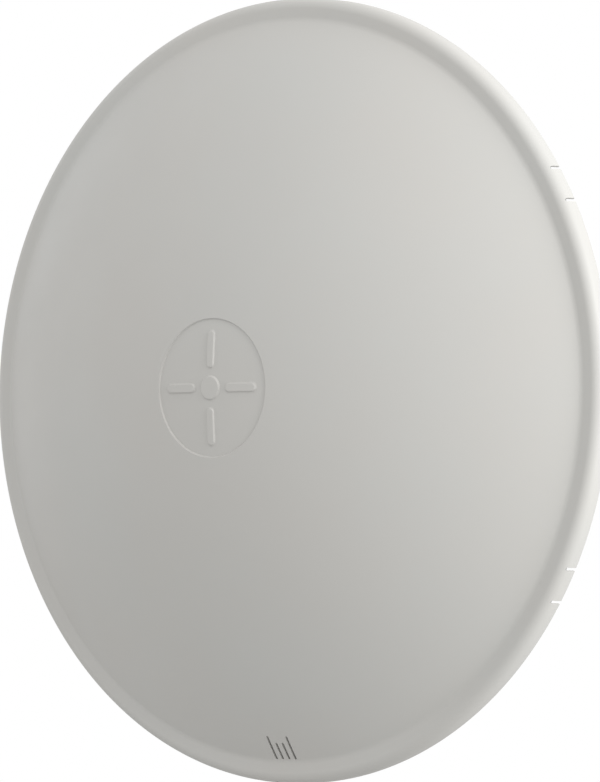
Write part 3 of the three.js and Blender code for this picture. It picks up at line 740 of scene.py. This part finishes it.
def hub():
    low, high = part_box("hub_casting")
    radius = high.x
    floor = low.y + HUB_FLOOR
    profile = [(HUB_BORE, low.y), (radius, low.y), (radius, floor), (radius - HUB_SLOPE, high.y)]
    disc = turned("hub_fine", profile + [(HUB_BORE, high.y)])
    clear = 10 * MM
    tools = bolt_holes(low.y - clear, high.y + clear)
    inner_end, outer_end = [radius - inwards for inwards in HUB_POCKET]
    half = HUB_POCKET_HALF
    outline = rounded_outline(inner_end, outer_end, -half, half, HUB_POCKET_CORNER)
    for quarter in range(4):
        pocket = prism("pocket", outline, floor, high.y + clear, "y")
        pocket.data.transform(Matrix.Rotation(math.radians(90 * quarter), 4, "Y"))
        tools.append(pocket)
    carved(disc, tools)
    soften(disc, 0.6 * MM, 3, 30)
    dress(disc, "antenna", "cast_aluminium", "hub_casting")


# ================= Folded steel =================

STEEL = 3 * MM
BEND = 4.5 * MM
POLE_RADIUS = 25 * MM
POLE_WEB_BACK = -41 * MM
V_DEPTH = POLE_RADIUS * math.sqrt(2)  # from the pole's axis to the bottom of a notch
V_ENTRY = 1.5 * MM  # how far its entry is opened out along the tips
V_BREAK = 1 * MM
FLANGE_HALF = 45 * MM
FLANGE_TIP = 8 * MM  # from the pole's axis
FLANGE_CORNER = 4 * MM
FEED_PASSAGE = 23 * MM
LOCK_SWEEP = 20  # degrees
CORNER_CUT = 9 * MM
JAW_CORNER = 5 * MM
OVERCUT = 1 * MM
THROUGH = 12 * MM  # beyond both faces of a web
ACROSS = 80 * MM  # beyond both arms


def channel(name, outer_x, web_low, web_high, arm_y, half):
    """A U-shaped channel folded from sheet: a web across X and two arms along Y."""
    away = 1 if arm_y > web_high else -1
    outside, inside = (web_low, web_high) if away > 0 else (web_high, web_low)
    inner_bend = BEND - STEEL
    outline = []
    for side in (1, -1):
        bend_x = side * (outer_x - BEND)
        turns = range(0, 91, 10)
        outer = oval(bend_x, outside + away * BEND, side * BEND, -away * BEND, turns)
        inner = oval(bend_x, inside + away * inner_bend, side * inner_bend, -away * inner_bend, turns)
        end = [(side * outer_x, arm_y), (side * (outer_x - STEEL), arm_y)]
        outline += (outer + end + inner[::-1])[::side]
    return prism(name, outline, -half, half, "z")


def hole_y(x, z, radius, y):
    return prism("hole", circle_outline(x, z, radius), y - THROUGH, y + THROUGH, "y")


def hole_x(y, z, radius):
    return prism("hole", circle_outline(y, z, radius), -ACROSS, ACROSS, "x")


def lock_slot(radius, half_width):
    """The curved slot, centred on the pivot, that lets the lock bolts swing with the dish."""
    outer = (radius + half_width, -LOCK_SWEEP, LOCK_SWEEP, 0)
    inner = (radius - half_width, LOCK_SWEEP, -LOCK_SWEEP, 180)
    points = []
    for r, start, end, turned_by in (outer, inner):
        points += arc(PIVOT_Y, 0, r, start, end, 24)
        tip = math.radians(end)
        cap = end + turned_by
        centre = (PIVOT_Y + radius * math.sin(tip), radius * math.cos(tip))
        points += arc(*centre, half_width, cap, cap + 180, 12)[1:-1]
    return prism("slot", points, -ACROSS, ACROSS, "x")


def notched_flange(side, web, z):
    """A flange from the web to its two tips, with a V between them for the pole."""
    reach = V_DEPTH - FLANGE_TIP
    outline = [(-FLANGE_HALF, web), (FLANGE_HALF, web), (FLANGE_HALF, FLANGE_TIP + FLANGE_CORNER)]
    outline += [(FLANGE_HALF - FLANGE_CORNER, FLANGE_TIP), (reach + V_ENTRY, FLANGE_TIP)]
    outline += [(reach - V_BREAK, FLANGE_TIP + V_BREAK), (0, V_DEPTH)]
    outline += [(-x, y) for x, y in outline[2:-1][::-1]]
    return prism("flange", [(x, side * y) for x, y in outline], z, z + STEEL, "z")


def flanges(side, web, low, high):
    return [notched_flange(side, web + OVERCUT, z) for z in (high.z - STEEL, low.z)]


def brackets():
    lock_z = middle("lock_bolt_left").z
    bolt_x = middle("clamp_bolt_right").x

    low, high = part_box("tilt_bracket")
    tilt = channel("tilt_bracket_fine", high.x, low.y, low.y + STEEL, high.y, high.z)
    tools = [hole_y(p.x, p.z, M6["hole"], low.y) for p in bolt_axes()]
    tools += [hole_y(0, 0, FEED_PASSAGE, low.y)]
    tools += [hole_x(PIVOT_Y, z, M8["hole"]) for z in (0, lock_z)]
    carved(tilt, tools)
    soften(tilt, 0.5 * MM, 2, 40)
    dress(tilt, "antenna", "zinc_steel", "tilt_bracket")

    low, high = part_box("pole_bracket")
    web_low = POLE_WEB_BACK - STEEL
    pole = channel("pole_bracket_fine", high.x, web_low, POLE_WEB_BACK, low.y, high.z)
    carved(pole, flanges(-1, -POLE_WEB_BACK, low, high), "UNION")
    tools = [hole_x(PIVOT_Y, 0, M8["hole"]), lock_slot(lock_z, M8["hole"])]
    tools += [hole_y(side * bolt_x, 0, M8["hole"], POLE_WEB_BACK) for side in (-1, 1)]
    front = low.y - OVERCUT
    for end in (-1, 1):
        top = end * (high.z + OVERCUT)
        corner = [(front, top), (low.y + CORNER_CUT, top), (front, end * (high.z - CORNER_CUT))]
        tools.append(prism("corner", corner, -ACROSS, ACROSS, "x"))
    carved(pole, tools)
    soften(pole, 0.5 * MM, 2, 40)
    dress(pole, "pole_mount", "zinc_steel", "pole_bracket")

    low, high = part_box("clamp_jaw")
    outline = rounded_outline(low.x, high.x, low.z, high.z, JAW_CORNER)
    jaw = prism("clamp_jaw_fine", outline, high.y - STEEL, high.y, "y")
    carved(jaw, flanges(1, high.y - STEEL, low, high), "UNION")
    carved(jaw, [hole_y(side * bolt_x, 0, M8["hole"], high.y) for side in (-1, 1)])
    soften(jaw, 0.5 * MM, 2, 40)
    dress(jaw, "jaw", "zinc_steel", "clamp_jaw")


# ================= Fasteners =================

CROWN = 1.15  # how far a crown cuts in, as a share of the corner's stand-out
CROWN_DROP = 0.88  # how far it cuts down, as a share of how far it cuts in
BORE_MOUTH = 1.16
BORE_LEAD = 0.5 * MM
THREAD_DEPTH = 0.54  # as a share of the pitch
THREAD_RUN_OUT = 1.5  # pitches
RUN_OUT_DEPTH = 0.35  # as a share of the thread's depth
THREAD_ROWS = 5  # in a pitch
DOME_POWER = 0.8  # below 1, so that a screw's dome is fuller than an ellipse
DRIVE_LOBES = 6
DRIVE_STEPS = 72
DRIVE_RADIUS = 0.4  # this and the lobes' height, as shares of the head's radius
DRIVE_LOBE = 0.07
DRIVE_FLOOR = 0.3  # as a share of the head's height
NUT_PLAY = 0.15 * MM
WASHER_EDGE = 0.25 * MM
GROUND_HEAD = 2.6 * MM
CUP_RADIUS = 7.4 * MM
CUP_HEIGHT = 4.4 * MM
CUP_RISE = 3.6 * MM
NECK_RADIUS = 3.7 * MM
NECK_LENGTH = 16 * MM


def placed(thing, origin, axis):
    """Turns a piece made along +Y so that it runs along the axis from the origin."""
    turn = Vector((0, 1, 0)).rotation_difference(Vector(axis)).to_matrix().to_4x4()
    thing.data.transform(Matrix.Translation(origin) @ turn)
    return thing


def hexagon(name, flats, low, high, crown_high, bore=0.0):
    """A hexagonal head or nut whose corners are turned off, at its low end or at both ends."""
    corner = flats / math.sqrt(3)
    turns = [math.radians(60 * i) for i in range(6)]
    outline = [(corner * math.cos(a), corner * math.sin(a)) for a in turns]
    body = prism(name, outline, low, high, "y")
    cut = (corner - flats / 2) * CROWN
    drop = cut * CROWN_DROP
    clear = corner * 1.1
    cone = [(0, low), (corner - cut, low), (clear, low + drop)]
    cone += [(clear, high - drop), (corner - cut, high)] if crown_high else [(clear, high)]
    carved(body, [turned("cone", cone + [(0, high)], SMALL)], "INTERSECT")
    if bore:
        chamfer = bore * BORE_MOUTH
        mouth = chamfer * 1.2
        hole = [(0, low - MM), (mouth, low - MM), (chamfer, low), (bore, low + BORE_LEAD)]
        hole += [(bore, high - BORE_LEAD), (chamfer, high), (mouth, high + MM), (0, high + MM)]
        carved(body, [turned("bore", hole, SMALL)])
    return body


def threaded_rod(name, radius, pitch, low, high, steps=24):
    """A shank with a real helical thread that fades out at both ends."""
    depth = pitch * THREAD_DEPTH
    rows = int((high - low) / pitch * THREAD_ROWS)
    vertices = [Vector((0, low, 0))]
    for y in evenly(low, high, rows):
        fade = smoothstep(min(y - low, high - y) / (pitch * THREAD_RUN_OUT))
        for step in range(steps):
            phase = (y / pitch - step / steps) % 1.0
            flank = 1 - abs(2 * phase - 1)
            here = radius - depth * (flank * fade + RUN_OUT_DEPTH * (1 - fade))
            angle = 2 * math.pi * step / steps
            vertices.append(Vector((here * math.cos(angle), y, here * math.sin(angle))))
    vertices.append(Vector((0, high, 0)))
    last = len(vertices) - 1
    sides = [(step, (step + 1) % steps) for step in range(steps)]
    faces = [[0, 1 + near, 1 + after] for near, after in sides]
    for row in range(rows):
        base = 1 + row * steps
        top = base + steps
        faces += [[base + near, base + after, top + after, top + near] for near, after in sides]
    faces += [[last, last - steps + near, last - steps + after] for near, after in sides]
    return mesh_from(name, vertices, faces)


def finished(thing, node, body, look="bolt_steel", slot="zinc_steel"):
    thing.name = node + "_fine"
    dress(thing, body, look, node, slot=slot)


def washer(node, body, origin, axis, thick):
    rim = WASHER_RADIUS - WASHER_EDGE
    ring = [(WASHER_BORE, 0), (rim, 0), (WASHER_RADIUS, WASHER_EDGE)]
    ring += [(WASHER_RADIUS, thick - WASHER_EDGE), (rim, thick), (WASHER_BORE, thick)]
    thing = placed(turned("washer", ring, SMALL), origin, axis)
    soften(thing, 0.0, angle=50)
    finished(thing, node, body)


def nut(node, body, origin, axis, size, height):
    bore = size["shank"] + NUT_PLAY
    thing = placed(hexagon("nut", size["flats"], 0, height, True, bore), origin, axis)
    soften(thing, 0.12 * MM, 2, 25)
    finished(thing, node, body)


def hex_bolt(node, body, origin, axis, size, length):
    head = hexagon("head", size["flats"], -size["head"], 0, False)
    shaft = threaded_rod("shaft", size["shank"], size["pitch"], -0.4 * MM, length)
    thing = placed(carved(head, [shaft], "UNION"), origin, axis)
    soften(thing, 0.0, angle=24)
    finished(thing, node, body)


def round_screw(node, origin, axis, size, length, *finish):
    """A domed screw with a six-lobed drive."""
    radius, height = size["dome"], size["head"]
    turns = [math.radians(a) for a in range(0, 90, 9)]
    dome = [(radius * math.cos(a), -height * math.sin(a) ** DOME_POWER) for a in turns]
    under = 0.3 * MM
    profile = [(0, under), (radius, under), *dome, (0, -height)]
    head = turned("head", profile, SMALL)
    lobes = []
    for i in range(DRIVE_STEPS):
        a = 2 * math.pi * i / DRIVE_STEPS
        r = radius * (DRIVE_RADIUS + DRIVE_LOBE * math.cos(DRIVE_LOBES * a))
        lobes.append((r * math.cos(a), r * math.sin(a)))
    carved(head, [prism("drive", lobes, -height - MM, -height * DRIVE_FLOOR, "y")])
    shaft = threaded_rod("shaft", size["shank"], size["pitch"], 0.1 * MM, length, 20)
    thing = placed(carved(head, [shaft], "UNION"), origin, axis)
    soften(thing, 0.0, angle=30)
    finished(thing, node, "antenna", *finish)


def fasteners():
    back, front = (0, 1, 0), (0, -1, 0)
    for index in range(1, 5):
        node = f"hub_bolt_{index}"
        low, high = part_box(node)
        at = middle(node)
        under = low.y + M6["head"]
        round_screw(node, (at.x, under, at.z), back, M6, high.y - under)

        node = f"hub_nut_{index}"
        low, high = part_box(node)
        nut(node, "antenna", (at.x, low.y, at.z), back, M6, high.y - low.y)

        node = f"cover_screw_{index}"
        low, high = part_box(node)
        at = middle(node)
        under = high.y - M4["head"]
        round_screw(node, (at.x, under, at.z), front, M4, under - low.y)

    for side, sign in (("left", -1), ("right", 1)):
        out = (sign, 0, 0)
        for job, rings in (("pivot", ("spacer", "washer")), ("lock", ("washer",))):
            node = f"{job}_bolt_{side}"
            at = middle(node)
            under = nearest(node) + M8["head"]
            length = furthest(node) - under
            hex_bolt(node, "antenna", (sign * under, at.y, at.z), out, M8, length)
            for ring in rings:
                node = f"{job}_{ring}_{side}"
                near = nearest(node)
                origin = (sign * near, at.y, at.z)
                washer(node, "antenna", origin, out, furthest(node) - near)
            node = f"{job}_nut_{side}"
            near = nearest(node)
            nut(node, "antenna", (sign * near, at.y, at.z), out, M8, furthest(node) - near)

        node = f"clamp_bolt_{side}"
        low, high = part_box(node)
        x = middle(node).x
        carriage_bolt(node, x, low.y, high.y)
        node = f"clamp_washer_{side}"
        low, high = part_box(node)
        washer(node, "jaw", (x, low.y, 0), back, high.y - low.y)
        node = f"clamp_nut_{side}"
        low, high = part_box(node)
        nut(node, "jaw", (x, low.y, 0), back, M8, high.y - low.y)

    node = "ground_screw"
    low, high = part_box(node)
    at = middle(node)
    under = high.x - GROUND_HEAD
    size = {**M4, "head": GROUND_HEAD}
    round_screw(node, (under, at.y, at.z), (-1, 0, 0), size, under - low.x, "brass", "brass")


def carriage_bolt(node, x, low, high):
    """A cup-headed bolt with a smooth neck and a long rolled thread."""
    top = low + CUP_HEIGHT
    edge = top - (CUP_HEIGHT - CUP_RISE)
    cup = oval(0, edge, CUP_RADIUS, -CUP_RISE, range(10, 91, 10))
    thing = turned("cup", [(0, low), *cup, (CUP_RADIUS, top), (0, top)], SMALL)
    neck_end = top + NECK_LENGTH
    neck = circle_outline(0, 0, NECK_RADIUS, BORE_STEPS)
    carved(thing, [prism("neck", neck, top - 0.5 * MM, neck_end, "y")], "UNION")
    thread = threaded_rod("thread", M8["shank"], M8["pitch"], neck_end - 1 * MM, high)
    carved(thing, [thread], "UNION")
    placed(thing, (x, 0, 0), (0, 1, 0))
    soften(thing, 0.0, angle=26)
    finished(thing, node, "pole_mount")


# ================= Radio =================

CHIPS = (  # x, z, width, height and thickness, in mm
    (-16, 12, 14, 14, 1.4),
    (8, 14, 9, 9, 1.2),
    (20, 2, 6, 10, 2.0),
    (-24, -12, 8, 5, 1.0),
    (24, 18, 5, 5, 2.4),
)
CHIP_CORNER = 0.4 * MM
SOLDER = 0.02 * MM
CASING_EDGE = 0.45 * MM
SMALL_EDGE = 0.2 * MM


def radio():
    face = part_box("circuit_board")[1].y
    chips = []
    for x, z, wide, tall, thick in CHIPS:
        sides = [edge * MM for edge in (x - wide / 2, x + wide / 2, z - tall / 2, z + tall / 2)]
        outline = rounded_outline(*sides, CHIP_CORNER)
        chips.append(prism("chip", outline, face + SOLDER, face + thick * MM, "y"))
    parts = joined(chips)
    parts.name = "board_components"
    soften(parts, SMALL_EDGE)
    dress(parts, "antenna", "black_rubber")

    nodes = frame["nodes"]
    for node in ("radio_housing", "radio_cover", "port_door", "shield_can", "ground_lug"):
        soften(nodes[node], CASING_EDGE, 3, 35)
    soften(nodes["ethernet_jack"], SMALL_EDGE, 3, 35)
    for node in ("light_pipe", "door_pin", "reset_button", "vent_plug", "cover_seal"):
        soften(nodes[node], SMALL_EDGE, 2, 35)
    for node in ("circuit_board", "probe_board"):
        soften(nodes[node], SMALL_EDGE, 2, 35)


def carry_over():
    """Every CAD node that still shows gets its own procedural look."""
    slots = {part["node"]: part["material_slot"] for part in frame["record"]["subparts"]}
    for node, thing in frame["nodes"].items():
        thing.data.materials.clear()
        thing.data.materials.append(LOOKS[slots[node]])


# ================= Scene =================

FLOOR_DROP = 9.8
FLOOR_RADIUS = 45.0
FLOOR_THICK = 0.01
FLOOR_TONE = 0.62  # how bright the backdrop is at its foot
FADE_START = -0.045  # upward part of a view direction: the backdrop is white above this
FADE_END = -0.17  # and has the floor's tone below this
SUN_FROM = (0.97, 0.07, 0.2)
SUN_STRENGTH = 2.85
SUN_ANGLE = 45  # degrees, wide for soft shadows


def backdrop():
    """White all round, falling to the floor's tone just below the horizon."""
    world = bpy.data.worlds.new("studio")
    world.use_nodes = True
    nodes = world.node_tree.nodes
    direction = nodes.new("ShaderNodeTexCoord").outputs["Generated"]
    split = nodes.new("ShaderNodeSeparateXYZ")
    fade = nodes.new("ShaderNodeMapRange")
    fade.interpolation_type = "SMOOTHSTEP"
    fade.inputs["From Min"].default_value = FADE_END
    fade.inputs["From Max"].default_value = FADE_START
    fade.inputs["To Min"].default_value = FLOOR_TONE
    fade.inputs["To Max"].default_value = 1.0
    link(world.node_tree, direction, split.inputs["Vector"])
    link(world.node_tree, split.outputs["Z"], fade.inputs["Value"])
    link(world.node_tree, fade.outputs["Result"], nodes["Background"].inputs["Color"])
    bpy.context.scene.world = world


def studio():
    slab = [(0, 0.0), (FLOOR_RADIUS, 0.0), (FLOOR_RADIUS, FLOOR_THICK), (0, FLOOR_THICK)]
    floor = turned("floor", slab, FLOOR_STEPS)
    lying = Matrix.Rotation(math.radians(-90), 4, "X")
    floor.data.transform(Matrix.Translation((0, 0, -FLOOR_DROP)) @ lying)
    look = Look("floor", ior=1.2)
    look.colour(look.clouded(0.4, 3.0, (0.505, 0.505, 0.5), (0.495, 0.495, 0.49)))
    look.rough(look.noise(30.0, 3.0), 0.8, 0.9)
    floor.data.materials.append(look.material)

    backdrop()

    light = bpy.data.lights.new("key", "SUN")
    light.energy = SUN_STRENGTH
    light.angle = math.radians(SUN_ANGLE)
    lamp = bpy.data.objects.new("key", light)
    lamp.rotation_mode = "QUATERNION"
    lamp.rotation_quaternion = Vector(SUN_FROM).to_track_quat("Z", "Y")
    bpy.context.scene.collection.objects.link(lamp)

    scene = bpy.context.scene
    scene.view_settings.view_transform = "Standard"
    scene.view_settings.look = "None"


def camera():
    right = Vector((math.cos(AZIMUTH), math.sin(AZIMUTH), 0))
    level = math.cos(ELEVATION)
    back = Vector((math.sin(AZIMUTH) * level, -math.cos(AZIMUTH) * level, math.sin(ELEVATION)))
    up = back.cross(right)
    data = bpy.data.cameras.new("camera")
    data.lens = LENS
    data.sensor_width = SENSOR
    data.clip_end = FAR_CLIP
    thing = bpy.data.objects.new("camera", data)
    centre = Vector((0, RIM_Y, 0)) + right * AIM_RIGHT + up * AIM_UP
    thing.location = centre + back * DISTANCE
    thing.rotation_mode = "QUATERNION"
    thing.rotation_quaternion = back.to_track_quat("Z", "Y")
    bpy.context.scene.collection.objects.link(thing)
    bpy.context.scene.camera = thing


carry_over()
radome()
reflector()
hub()
feed()
brackets()
fasteners()
radio()
studio()
camera()
